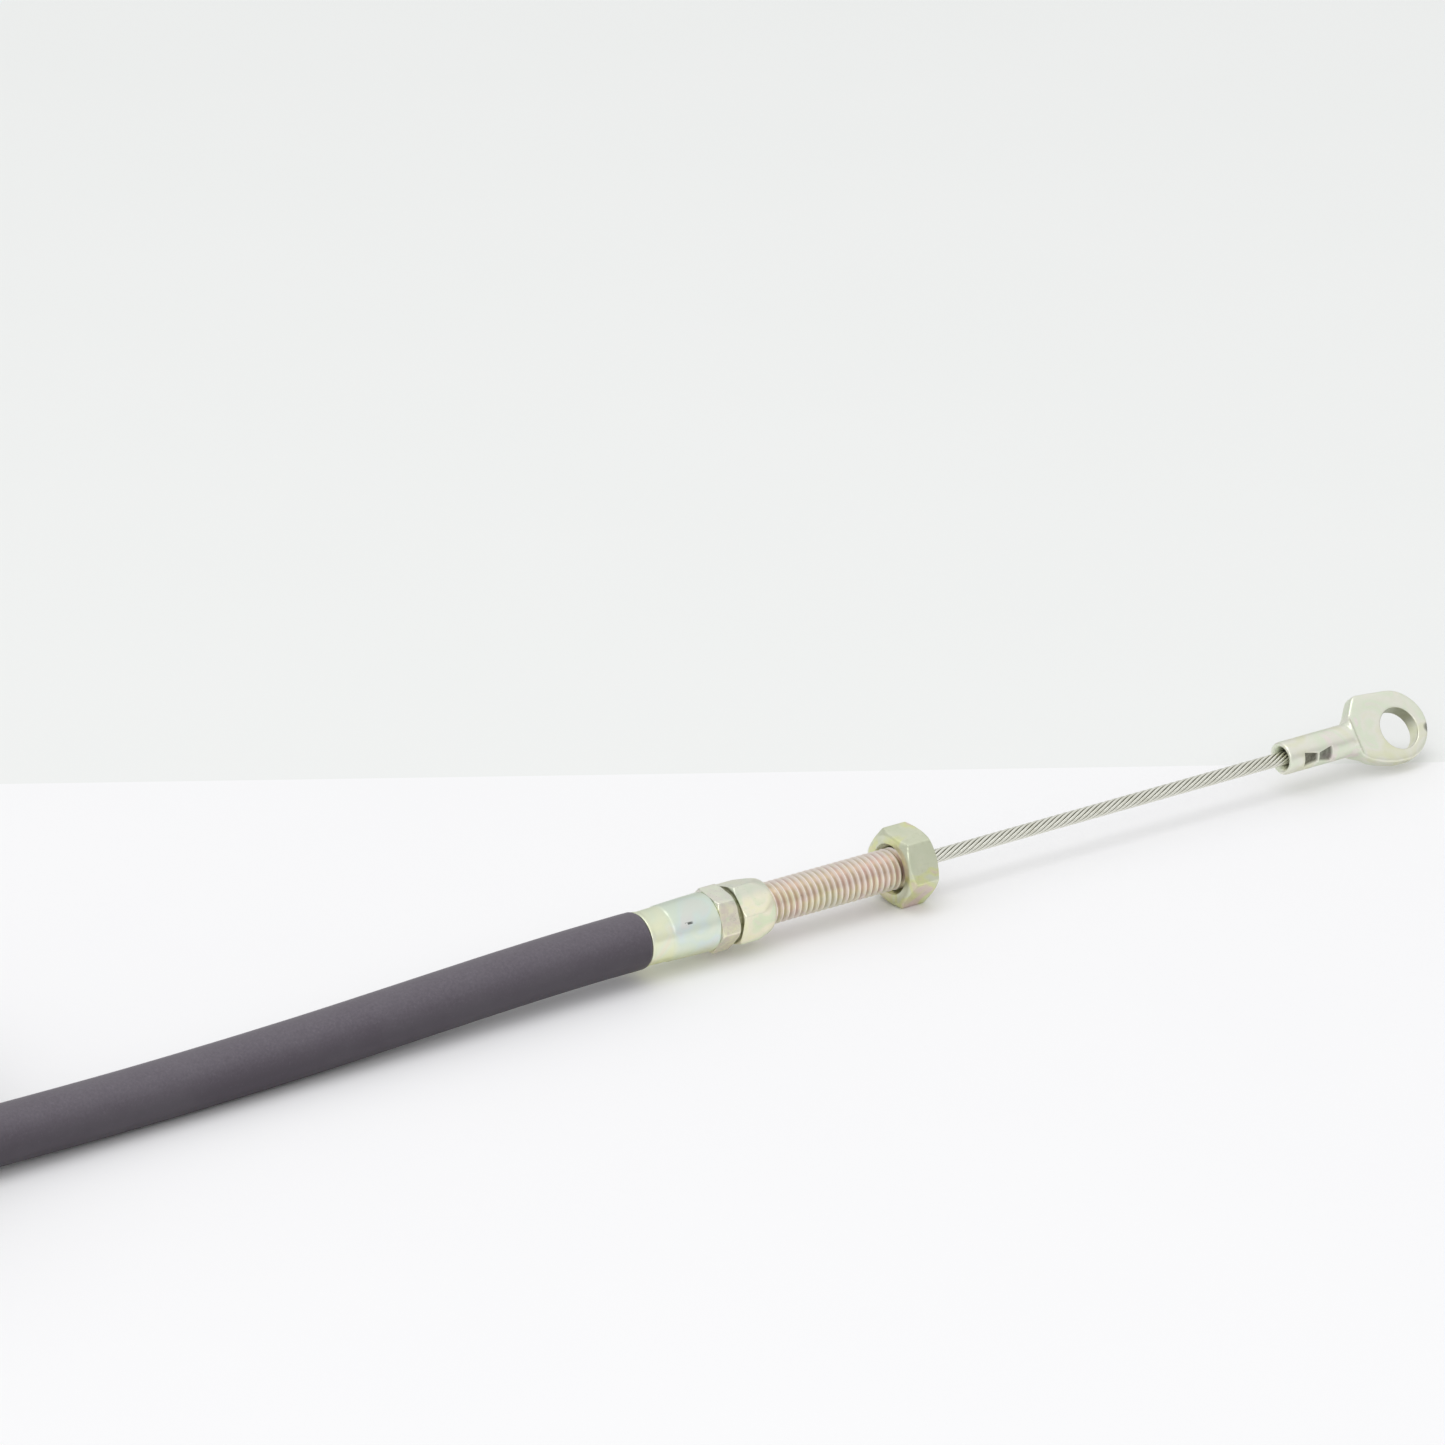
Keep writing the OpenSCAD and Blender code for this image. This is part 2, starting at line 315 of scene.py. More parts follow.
def ferrule_tweak(m, col, pos):
    col = pull_x(m, col, pos, -1, 3.7, YELLOW, 0.6)
    col = pull_x(m, col, pos, 3.7, 12, BLUISH, 0.55)
    # painted shade: the upper side is tinted a darker greenish grey; the underside is tinted yellow
    z = m.split(m.place())[2]
    col = m.mix(m.math("MULTIPLY", m.step(z, 1.6, 3.8), 0.5), col, srgb(200, 212, 196))
    col = m.mix(m.math("MULTIPLY", m.math("SUBTRACT", 1.0, m.step(z, -3.6, -1.0)), 0.6), col, srgb(232, 232, 176))
    # a short dark nick on the side
    c = m.split(m.place(shift=(-6.1, 4.0, -2.25)))
    across = m.math("ABSOLUTE", m.math("ADD", m.math("MULTIPLY", c[2], 0.88), m.math("MULTIPLY", c[1], 0.2)))
    mark = m.math("MULTIPLY", m.math("SUBTRACT", 1.0, m.step(across, 0.08, 0.2)),
                  m.math("SUBTRACT", 1.0, m.step(m.math("ABSOLUTE", c[0]), 0.5, 0.8)))
    near = m.math("SUBTRACT", 1.0, m.step(m.math("ABSOLUTE", c[1]), 1.0, 1.4))
    patchy = m.step(m.noise(m.place(), 1.9, 2.0, 0.5), 0.38, 0.5)
    col = m.mix(m.math("MULTIPLY", m.math("MULTIPLY", mark, near), m.math("MULTIPLY", patchy, 0.85)), col, srgb(60, 66, 60))
    return col


M_FERRULE = plating("plated_ferrule", [(0.0, YELLOW), (0.4, GREEN), (0.7, BLUISH), (1.0, PINK)],
                    patch=0.16, seed=3.1, rough=(0.30, 0.44), tweak=ferrule_tweak)
def hub_tweak(m, col, pos):
    """painted shade in the groove, a pinkish flange and painted shade dulling the upper flats"""
    c = m.split(m.place())
    r = m.math("SQRT", m.math("ADD", m.math("POWER", c[1], 2.0), m.math("POWER", c[2], 2.0)))
    n = m.noise(m.place(shift=(3, 9, 1)), 0.9, 3.0, 0.6)
    flange = m.math("SUBTRACT", 1.0, m.step(c[0], 2.8, 3.2))
    col = m.mix(m.math("MULTIPLY", flange, m.math("MULTIPLY", m.step(n, 0.35, 0.65), 0.6)), col, srgb(226, 212, 206))
    # painted shade: the upper flats are dulled to grey-green
    col = m.mix(m.math("MULTIPLY", m.step(c[2], 2.6, 3.7), 0.5), col, srgb(206, 212, 204))
    # painted shade: dark olive in the groove between the flange and the hexagon, broken up by noise
    band = m.math("MULTIPLY", m.step(c[0], 2.85, 3.05), m.math("SUBTRACT", 1.0, m.step(c[0], 3.6, 3.8)))
    low = m.math("SUBTRACT", 1.0, m.step(r, 3.85, 4.2))
    return m.mix(m.math("MULTIPLY", m.math("MULTIPLY", band, low), m.math("ADD", 0.35, m.math("MULTIPLY", n, 0.8)),
                        clamp=True), col, srgb(104, 104, 70))


M_HUB = plating("plated_hub", [(0.0, YELLOW), (0.45, CREAM), (0.75, GREEN), (1.0, PINK)],
                patch=0.2, seed=11.7, rough=(0.26, 0.40), tweak=hub_tweak)
def nut_tweak(m, col, pos):
    """darker olive round the bore in noisy patches, and faint olive grime patches all over"""
    c = m.split(m.place())
    r = m.math("SQRT", m.math("ADD", m.math("POWER", c[1], 2.0), m.math("POWER", c[2], 2.0)))
    n = m.noise(m.place(shift=(6, 2, 7)), 1.1, 4.0, 0.65)
    edge_in = m.math("MULTIPLY", m.math("SUBTRACT", 1.0, m.step(r, 2.9, 3.5)), m.step(n, 0.35, 0.6))
    col = m.mix(m.math("MULTIPLY", edge_in, 0.7), col, srgb(112, 104, 74))
    return m.mix(m.math("MULTIPLY", m.step(n, 0.5, 0.72), 0.22), col, srgb(176, 180, 146))


M_NUT = plating("plated_nut", [(0.0, srgb(214, 220, 196)), (0.45, srgb(220, 224, 202)), (0.7, srgb(222, 226, 172)),
                               (1.0, srgb(228, 212, 208))],
                patch=0.2, seed=21.3, rough=(0.28, 0.42), dirt=0.55, tweak=nut_tweak)


def eye_tweak(m, col, pos):
    """painted shade in the crimp bites and inside the bore"""
    c = m.split(m.place())
    r = m.math("SQRT", m.math("ADD", m.math("POWER", c[1], 2.0), m.math("POWER", c[2], 2.0)))
    # painted shade in the crimp bites, broken up by noise
    band = m.math("MULTIPLY", m.step(c[0], 2.1, 2.7), m.math("SUBTRACT", 1.0, m.step(c[0], 7.7, 8.3)))
    pit = m.math("MULTIPLY", m.math("SUBTRACT", 1.0, m.step(r, 1.80, 2.33)), band)
    patchy = m.noise(m.place(shift=(1, 6, 2)), 1.3, 3.0, 0.6)
    col = m.mix(m.math("MULTIPLY", pit, m.math("ADD", 0.55, m.math("MULTIPLY", patchy, 0.6)), clamp=True), col,
                srgb(72, 70, 60))
    # painted shade inside the bore
    hollow = m.math("MULTIPLY", m.math("SUBTRACT", 1.0, m.step(r, 1.1, 1.7)), m.math("SUBTRACT", 1.0, m.step(c[0], 10.5, 11.5)))
    col = m.mix(m.math("MULTIPLY", hollow, 0.75), col, srgb(96, 98, 70))
    # painted shade on the down-facing wall of the drilled hole, and painted shade on a corner at the tip
    w = m.math("ADD", m.math("MULTIPLY", c[1], 0.62932), m.math("MULTIPLY", c[2], 0.777146))
    rad = m.math("SQRT", m.math("ADD", m.math("POWER", m.math("SUBTRACT", c[0], 20.5), 2.0),
                                m.math("POWER", m.math("ADD", w, 0.6), 2.0)))
    wall = m.math("SUBTRACT", 1.0, m.step(rad, 3.12, 3.26))
    under = m.math("SUBTRACT", 1.0, m.step(m.split(m.node("ShaderNodeNewGeometry").outputs["Normal"])[2], -0.45, 0.3))
    col = m.mix(m.math("MULTIPLY", m.math("MULTIPLY", wall, under), 0.8), col, srgb(132, 134, 104))
    # painted shade on the rim facet at the tip
    tip_shade = m.math("SQRT", m.math("ADD", m.math("POWER", m.math("SUBTRACT", c[0], 25.3), 2.0),
                                 m.math("POWER", m.math("ADD", w, 1.6), 2.0)))
    return m.mix(m.math("MULTIPLY", m.math("SUBTRACT", 1.0, m.step(tip_shade, 0.45, 0.95)), 0.75), col, srgb(92, 94, 90))


M_EYE = plating("plated_eye", [(0.0, srgb(230, 232, 206)), (0.4, srgb(236, 236, 226)), (0.75, srgb(228, 236, 218)),
                               (1.0, srgb(240, 230, 230))],
                patch=0.17, seed=35.9, rough=(0.28, 0.42), tweak=eye_tweak)


def thread_tweak(m, col, pos):
    """crests painted brighter as a highlight, roots painted darker as shade in olive and pinkish patches"""
    c = m.split(m.place())
    r = m.math("SQRT", m.math("ADD", m.math("POWER", c[1], 2.0), m.math("POWER", c[2], 2.0)))
    crest = m.step(r, 2.5, 2.88)
    tone_mask = m.step(m.noise(m.place(shift=(2, 8, 4)), 0.22, 2.0, 0.5), 0.35, 0.65)
    root = m.mix(tone_mask, srgb(196, 184, 156), srgb(208, 176, 168))
    return m.mix(crest, m.mix(0.68, col, root), m.mix(0.5, col, srgb(252, 246, 238)))


M_THREAD = plating("plated_thread", [(0.0, srgb(242, 230, 220)), (0.4, srgb(240, 224, 220)), (0.7, srgb(242, 238, 204)),
                                     (1.0, srgb(228, 232, 214))],
                   patch=0.25, seed=7.9, rough=(0.26, 0.38), tweak=thread_tweak, dirt=0.2)


def m_wire():
    m = Mat("strand_wire")
    pos = m.place(scale=(0.35, 4, 4))
    n = m.noise(pos, 1.4, 4.0, 0.6)
    col = m.ramp(n, [(0.25, srgb(226, 226, 214)), (0.6, srgb(234, 234, 224)), (0.85, srgb(242, 242, 234))])
    grime = m.step(m.noise(m.place(shift=(4, 4, 4)), 0.35, 3.0, 0.6), 0.5, 0.8)
    col = m.mix(m.math("MULTIPLY", grime, 0.35), col, srgb(186, 184, 158))
    c = m.split(m.place())
    r = m.math("SQRT", m.math("ADD", m.math("POWER", c[1], 2.0), m.math("POWER", c[2], 2.0)))
    # painted shade between the strands: the flanks below each strand's crown are darkened
    groove = m.math("SUBTRACT", 1.0, m.step(r, 0.80, 0.94))
    col = m.mix(m.math("MULTIPLY", groove, 0.8), col, srgb(100, 98, 80))
    m.set(Base_Color=col, Metallic=1.0, Roughness=m.math("ADD", m.math("MULTIPLY", n, 0.16), 0.2))
    m.bump(m.noise(m.place(scale=(0.4, 9, 9)), 2.0, 3.0, 0.6), 0.2, 0.00002)
    return m.m


def m_jacket():
    m = Mat("jacket_plastic")
    pos = m.place(local=False)
    grain = m.noise(pos, 2.6, 4.0, 0.7)
    blotch = m.noise(m.place(scale=(0.12, 0.12, 0.12), local=False), 1.0, 3.0, 0.6)
    col = m.mix(m.step(blotch, 0.3, 0.7), srgb(58, 50, 60), srgb(66, 60, 68))
    col = m.mix(m.math("MULTIPLY", m.step(grain, 0.55, 0.75), 0.35), col, srgb(86, 80, 90))
    dust = m.step(m.noise(m.place(shift=(3, 7, 1), local=False), 1.1, 5.0, 0.75), 0.62, 0.8)
    col = m.mix(m.math("MULTIPLY", dust, 0.18), col, srgb(150, 145, 150))
    # painted highlight: upward-facing faces are lightened to pale grey, broken up by the grain
    up = m.split(m.node("ShaderNodeNewGeometry").outputs["Normal"])[2]
    tone_mask = m.math("MULTIPLY", m.step(up, -0.2, 0.95), m.math("ADD", 0.08, m.math("MULTIPLY", grain, 0.62)))
    col = m.mix(tone_mask, col, srgb(124, 118, 128))
    m.set(Base_Color=col, Metallic=0.0, Specular_IOR_Level=0.5, Coat_Weight=0.0,
          Roughness=m.math("ADD", m.math("MULTIPLY", grain, 0.18), 0.36))
    h = m.math("ADD", m.math("MULTIPLY", grain, 0.6), m.math("MULTIPLY", blotch, 0.4))
    m.bump(h, 0.22, 0.0001)
    return m.m


def m_plastic(name, c1, c2, rough, local=False, grain=2.0, trans=0.0):
    m = Mat(name)
    n = m.noise(m.place(local=local), grain, 4.0, 0.6)
    b = m.noise(m.place(local=local, shift=(5, 2, 8)), 0.12, 3.0, 0.5)
    col = m.mix(m.step(b, 0.3, 0.7), c1, c2)
    m.set(Base_Color=col, Roughness=m.math("ADD", m.math("MULTIPLY", n, 0.2), rough))
    m.bump(n, 0.15, 0.00008)
    return m.m


def m_armour():
    m = Mat("armour_steel")
    pos = m.place(local=False)
    x = m.split(pos)[0]
    turn = m.math("FRACT", m.math("MULTIPLY", x, 0.42))
    gap = m.math("SUBTRACT", 1.0, m.step(turn, 0.02, 0.14))
    n = m.noise(pos, 1.5, 4.0, 0.6)
    col = m.mix(n, srgb(150, 152, 154), srgb(188, 190, 190))
    col = m.mix(gap, col, srgb(70, 68, 64))
    m.set(Base_Color=col, Metallic=0.95, Roughness=m.math("ADD", m.math("MULTIPLY", n, 0.2), 0.3))
    m.bump(m.math("SUBTRACT", n, gap), 0.4, 0.0002)
    return m.m


M_WIRE = m_wire()
M_JACKET = m_jacket()
M_LINER = m_plastic("liner_plastic", srgb(226, 222, 210), srgb(238, 236, 228), 0.3)
M_TIE = m_plastic("tie_plastic", srgb(30, 29, 31), srgb(40, 38, 41), 0.34)
M_ARMOUR = m_armour()
M_CORE = m_plastic("core_wire", srgb(170, 170, 162), srgb(196, 196, 188), 0.3)


# ------------------------------------------------------------- the conduit
def catmull(pts, per):
    out = []
    n = len(pts)
    for i in range(n - 1):
        p0 = pts[i - 1] if i else pts[0] * 2 - pts[1]
        p1, p2 = pts[i], pts[i + 1]
        p3 = pts[i + 2] if i + 2 < n else pts[-1] * 2 - pts[-2]
        # cubic with tangents scaled to uneven spacing
        d0, d1, d2 = (p1 - p0).length, (p2 - p1).length, (p3 - p2).length
        m1 = ((p2 - p1) * (d0 / d1) + (p1 - p0) * (d1 / d0)) / (d0 + d1) * d1
        m2 = ((p3 - p2) * (d1 / d2) + (p2 - p1) * (d2 / d1)) / (d1 + d2) * d1
        for k in range(per):
            t = k / per
            a = 2 * t ** 3 - 3 * t ** 2 + 1
            b = t ** 3 - 2 * t ** 2 + t
            c = -2 * t ** 3 + 3 * t ** 2
            d = t ** 3 - t ** 2
            out.append(p1 * a + m1 * b + p2 * c + m2 * d)
    out.append(pts[-1].copy())
    return out


def resample(pts, marks):
    """points at the given distances along the line"""
    acc = [0.0]
    for i in range(1, len(pts)):
        acc.append(acc[-1] + (pts[i] - pts[i - 1]).length)
    out = []
    j = 0
    for s in marks:
        while j < len(pts) - 2 and acc[j + 1] < s:
            j += 1
        t = (s - acc[j]) / max(1e-9, acc[j + 1] - acc[j])
        out.append(pts[j].lerp(pts[j + 1], min(max(t, 0.0), 1.0)))
    return out, acc[-1]


def smooth01(t):
    t = min(max(t, 0.0), 1.0)
    return t * t * (3 - 2 * t)


NEAR_ROUTE = [(-68.25, 0, 5.3145), (-75, 0, 5.3), (-90, -0.3, 5.1), (-105, -0.7, 4.7), (-120, -1.1, 4.3),
              (-135, -1.5, 4.1), (-150, -1.9, 4.1), (-165, -2.4, 4.4), (-180, -2.8, 4.8), (-195, -3, 5)]
FAR_ROUTE = [(-345, 49, 13), (-340, 49, 13), (-335, 49, 13.05), (-330, 49, 13.4), (-324.5, 49, 14),
             (-320, 49, 14.3145)]
ctrl = [Vector(p) for p in NEAR_ROUTE]
ctrl += [Vector((x, -3, 5)) for x in range(-205, -345, -10)]
for i in range(0, 13):
    a = math.radians(-90 - 15 * i)
    ctrl.append(Vector((-345 + 26 * math.cos(a), 23 + 26 * math.sin(a), 5)))
ctrl += [Vector((x, 49, 5)) for x in range(-335, -195, 10)]
for i in range(0, 13):
    a = 90 - 15 * i
    ctrl.append(Vector((-195 + 26 * math.cos(math.radians(a)), 23 + 26 * math.sin(math.radians(a)),
                        5 + 8 * smooth01((90 - a) / 90.0))))
ctrl += [Vector((x, -3, 13)) for x in range(-205, -345, -10)]
for i in range(0, 12):
    a = math.radians(-90 - 15 * i)
    ctrl.append(Vector((-345 + 26 * math.cos(a), 23 + 26 * math.sin(a), 13)))
ctrl += [Vector(p) for p in FAR_ROUTE]
dense = catmull(ctrl, 8)
_, LENGTH = resample(dense, [0.0])
end_marks = [0.0, 0.06, 0.16, 0.32, 0.55, 0.9, 1.4, 2.0]
marks = end_marks[:]
s = 4.0
while s < LENGTH - 3.0:
    marks.append(s)
    s += 2.4
marks += [LENGTH - e for e in reversed(end_marks)]
path, LENGTH = resample(dense, marks)


def jacket():
    ro, ri, n = 3.99, 2.92, 56
    bm = bmesh.new()
    count = len(path)
    outer, inner = [], []
    side = None
    for i, p in enumerate(path):
        if i == 0:
            t = Vector((-1, 0, 0))
        elif i == count - 1:
            t = Vector((1, 0, 0))
        else:
            t = (path[i + 1] - path[i - 1]).normalized()
        if i < 8:
            t = Vector((-1, 0, 0)).lerp(t, i / 8.0).normalized()
        if i > count - 9:
            t = Vector((1, 0, 0)).lerp(t, (count - 1 - i) / 8.0).normalized()
        side = t.cross(Vector((0, 0, 1))).normalized()
        up = side.cross(t)
        e = min(marks[i], LENGTH - marks[i])
        # the cut end is a little rounded over
        r = ro - 0.42 * (1 - math.sqrt(max(0.0, 1 - (1 - min(e / 0.55, 1.0)) ** 2)))
        # and the sleeve swells slightly where it's pushed over the ferrule's root
        r += 0.02 * math.exp(-((e - 2.2) / 1.6) ** 2) if e < 8 else 0
        ow, iw = [], []
        for k in range(n):
            a = 2 * math.pi * (k + 0.5) / n
            d = side * math.cos(a) + up * math.sin(a)
            wob = 0.012 * noise.noise((p + d * 4) * 0.12)
            ow.append(bm.verts.new(p + d * (r + wob)))
            iw.append(bm.verts.new(p + d * ri))
        outer.append(ow)
        inner.append(iw)
    for i in range(count - 1):
        strip(bm, outer[i], outer[i + 1])
        strip(bm, inner[i + 1], inner[i])
    strip(bm, inner[0], outer[0])
    strip(bm, outer[-1], inner[-1])
    return finish_mesh("conduit_sheath", bm, (0, 0, 0), [M_JACKET], sharp=60)


sheath = jacket()
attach(sheath, "root")
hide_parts("conduit_jacket", "hank_lower", "hank_crossover", "hank_upper_run", "hank_upper_fold", "far_jacket")


# ------------------------------------------------------------- ferrule
def ferrule(name, origin):
    """tapered sleeve, its root crimped in eight shallow flats, the mouth rolled over the hub's spigot"""
    th = [360.0 * k / 112 for k in range(112)]
    L = 11.2
    bm = bmesh.new()

    def body(x, a):
        base = 3.85 + 0.25 * smooth01(x / L) ** 0.9
        crimp = smooth01((x - 0.25) / 0.5) * (1 - smooth01((x - 3.55) / 0.35))
        d = ((a + 11) % 45.0) - 22.5
        flat = base * math.cos(math.radians(22.5)) / math.cos(math.radians(d))
        flat = max(flat, base - 0.3)
        r = base * (1 - crimp) + (0.72 * base + 0.28 * flat - 0.02) * crimp
        return r

    rows = []
    xs = [0.0, 0.03, 0.1, 0.22, 0.35, 0.5, 0.65, 0.8, 1.2, 1.8, 2.4, 3.0, 3.4, 3.55, 3.65, 3.75, 3.85, 4.0, 4.4,
          5.2, 6.2, 7.2, 8.2, 9.2, 9.9, 10.3, 10.6, 10.8, 10.95, 11.08, 11.16, 11.2]
    for x in xs:
        e0 = 0.12 * (1 - math.sqrt(max(0.0, 1 - (1 - min(x / 0.22, 1.0)) ** 2)))
        e1 = 0.16 * (1 - math.sqrt(max(0.0, 1 - (1 - min((L - x) / 0.28, 1.0)) ** 2)))
        rows.append([bm.verts.new(polar(x, body(x, a) - e0 - e1, a)) for a in th])
    # inside: counterbore for the spigot, then the bore that grips the armour
    for x, r in [(11.2, 3.42), (11.1, 3.24), (8.25, 3.24), (8.2, 3.2), (8.2, 2.9), (8.1, 2.84), (0.12, 2.84),
                 (0.0, 2.95)]:
        rows.append([bm.verts.new(polar(x, r, a)) for a in th])
    for i in range(len(rows)):
        strip(bm, rows[i], rows[(i + 1) % len(rows)])
    return finish_mesh(name, bm, origin, [M_FERRULE], sharp=40)


# ------------------------------------------------------------- hub
HUB_TURN, FLANGE_TURN = 16.0, 40.0
THREAD_R, ROOT_R = 2.95, 2.42


def thread_profile(u):
    """radius above the root, 0 to 1, at place u of one pitch; the crest is at 0"""
    t = abs(u - 0.5) * 2
    s = min(max((t - 0.2) / (0.86 - 0.2), 0.0), 1.0)
    return s ** 1.15 * (1 - 0.0) if s < 0.9 else 0.9 ** 1.15 + (1 - 0.9 ** 1.15) * smooth01((s - 0.9) / 0.1)


def hub(name, origin):
    """one turned bar: spigot, hexagon flange, groove, hexagon with a coned nose, and the threaded barrel"""
    af, ac = 8.0, 8.0 * 2 / math.sqrt(3)
    th = sorted(set(a % 360 for a in hex_angles(HUB_TURN)) |
                set((FLANGE_TURN + 60 * s_ + o) % 360 for s_ in range(6) for o in (-3, -1.6, -0.7, 0, 0.7, 1.6, 3)))
    n = len(th)
    bm = bmesh.new()
    f0, f1 = 0.0, 3.0
    h0, h1 = 3.65, 9.3
    rows, mats = [], []

    def add(x, fn):
        rows.append([bm.verts.new(polar(x, fn(a), a)) for a in th])

    def flange(x):
        c0 = 4.28 + (x - f0) * 1.6
        c1 = 4.22 + (f1 - x) * 1.5
        return lambda a: smin([hex_r(af, FLANGE_TURN, a, 14), c0, c1], 22)

    def main(x):
        c0 = 4.22 + (x - h0) * 1.6
        c1 = 3.8 + (h1 - x) * (ac / 2 - 3.8) / 2.6
        return lambda a: smin([hex_r(af, HUB_TURN, a, 14), c0, c1], 24)

    add(-3.0, lambda a: 1.44)
    add(-3.0, lambda a: 3.0)
    add(-2.85, lambda a: 3.15)
    add(0.0, lambda a: 3.15)
    add(0.0, lambda a: 3.55)
    for x in (0.0, 0.03, 0.09, 0.18, 0.3, 0.45, 0.65, 1.0, 1.5, 2.0, 2.4, 2.6, 2.74, 2.85, 2.93, 2.98, 3.0):
        add(x, flange(x))
    add(3.0, lambda a: 3.9)
    add(3.03, lambda a: 3.76)
    add(3.1, lambda a: 3.7)
    add(3.55, lambda a: 3.7)
    add(3.62, lambda a: 3.76)
    add(3.65, lambda a: 3.9)
    for x in (3.65, 3.67, 3.72, 3.8, 3.92, 4.08, 4.3, 4.7, 5.2, 5.7, 6.1, 6.4, 6.6, 6.8, 7.0, 7.2, 7.45, 7.7, 8.0,
              8.3, 8.6, 8.8, 8.95, 9.06, 9.15, 9.22, 9.27, 9.3):
        e = 0.16 * (1 - math.sqrt(max(0.0, 1 - (1 - min((h1 - x) / 0.3, 1.0)) ** 2)))
        fn = main(x)
        rows.append([bm.verts.new(polar(x, fn(a) - e, a)) for a in th])
    add(9.3, lambda a: 3.3)
    for i in range(len(rows) - 1):
        strip(bm, rows[i], rows[i + 1])
    first = rows[0]
    shoulder = rows[-1]

    # right-hand thread, 1 mm pitch, as one sheet that follows the helix
    x0, x1 = 9.3, 36.8
    us = [0.0, 0.035, 0.07, 0.11, 0.17, 0.25, 0.33, 0.4, 0.45, 0.5, 0.55, 0.6, 0.67, 0.75, 0.83, 0.89, 0.93, 0.965]
    K = len(us)
    turns = int(x1 - x0) + 3
    sheet = {}
    base = th[0]
    for t in range(turns * n + 1):
        lap, j = divmod(t, n)
        a = th[j]
        frac = (a - base) / 360.0 + lap
        for k, u in enumerate(us):
            x = x0 - 1.5 + frac + u
            xc = min(max(x, x0), x1)
            deep = smooth01((xc - x0 - 0.1) / 1.2)
            r = ROOT_R + (THREAD_R - ROOT_R) * thread_profile(u)
            r = (2.72 + (THREAD_R - 2.72) * thread_profile(u)) * (1 - deep) + r * deep
            r = min(r, THREAD_R - (xc - (x1 - 0.62)) if xc > x1 - 0.62 else r)
            if xc <= x0 or xc >= x1:
                r = 2.72 if xc <= x0 else 2.33
            sheet[t, k] = bm.verts.new(polar(xc, r, a))
    thread_faces = []
    for t in range(turns * n):
        for k in range(K):
            if k < K - 1:
                q = [sheet[t, k], sheet[t, k + 1], sheet[t + 1, k + 1], sheet[t + 1, k]]
            else:
                if t + n + 1 > turns * n:
                    continue
                q = [sheet[t, k], sheet[t + n, 0], sheet[t + n + 1, 0], sheet[t + 1, k]]
            if max(v.co.x for v in q) <= x0 or min(v.co.x for v in q) >= x1:
                continue
            f = bm.faces.new(q)
            f.material_index = 1
            thread_faces.append(f)
    loose = [v for v in sheet.values() if not v.link_faces]
    bmesh.ops.delete(bm, geom=loose, context="VERTS")
    ring0 = [bm.verts.new(polar(x0, 2.72, a)) for a in th]
    ring1 = [bm.verts.new(polar(x1, 2.33, a)) for a in th]
    strip(bm, shoulder, ring0)
    end = [bm.verts.new(polar(36.8, 1.58, a)) for a in th]
    lip = [bm.verts.new(polar(36.66, 1.44, a)) for a in th]
    strip(bm, ring1, end, 1)
    strip(bm, end, lip, 1)
    strip(bm, lip, first, 1)
    return finish_mesh(name, bm, origin, [M_HUB, M_THREAD], sharp=38, tidy=2e-5)


# ------------------------------------------------------------- nut
NUT_TURN = 37.0


def nut(name, origin):
    af, m = 10.0, 4.9
    th = hex_angles(NUT_TURN)
    bm = bmesh.new()
    rows = []

    def outer(x):
        c0 = 4.75 + x * 1.732
        c1 = 4.75 + (m - x) * 1.732
        return lambda a: smin([hex_r(af, NUT_TURN, a, 13), c0, c1], 20)

    for x in (0.0, 0.02, 0.06, 0.12, 0.2, 0.3, 0.42, 0.55, 0.7, 0.95, 1.3, 1.8, 2.45, 3.1, 3.6, 3.95, 4.2, 4.35, 4.48,
              4.6, 4.7, 4.78, 4.84, 4.88, 4.9):
        fn = outer(x)
        rows.append([bm.verts.new(polar(x, fn(a), a)) for a in th])
    for r in (4.45, 3.75):
        rows.append([bm.verts.new(polar(m, r, a)) for a in th])
    rows.append([bm.verts.new(polar(m - 0.03, 3.62, a)) for a in th])
    # threaded bore, cut outwards from the clearance bore
    xs = [m - 0.6 - 0.05 * i for i in range(int((m - 1.2) / 0.05) + 1)]
    for x in xs:
        row = []
        for a in th:
            u = (x - (a - th[0]) / 360.0) % 1.0
            row.append(bm.verts.new(polar(x, 3.0 + 0.3 * (1 - thread_profile(u)), a)))
        rows.append(row)
    rows.append([bm.verts.new(polar(0.03, 3.62, a)) for a in th])
    for r in (3.75, 4.45):
        rows.append([bm.verts.new(polar(0.0, r, a)) for a in th])
    for i in range(len(rows)):
        strip(bm, rows[i], rows[(i + 1) % len(rows)])
    return finish_mesh(name, bm, origin, [M_NUT], sharp=32)


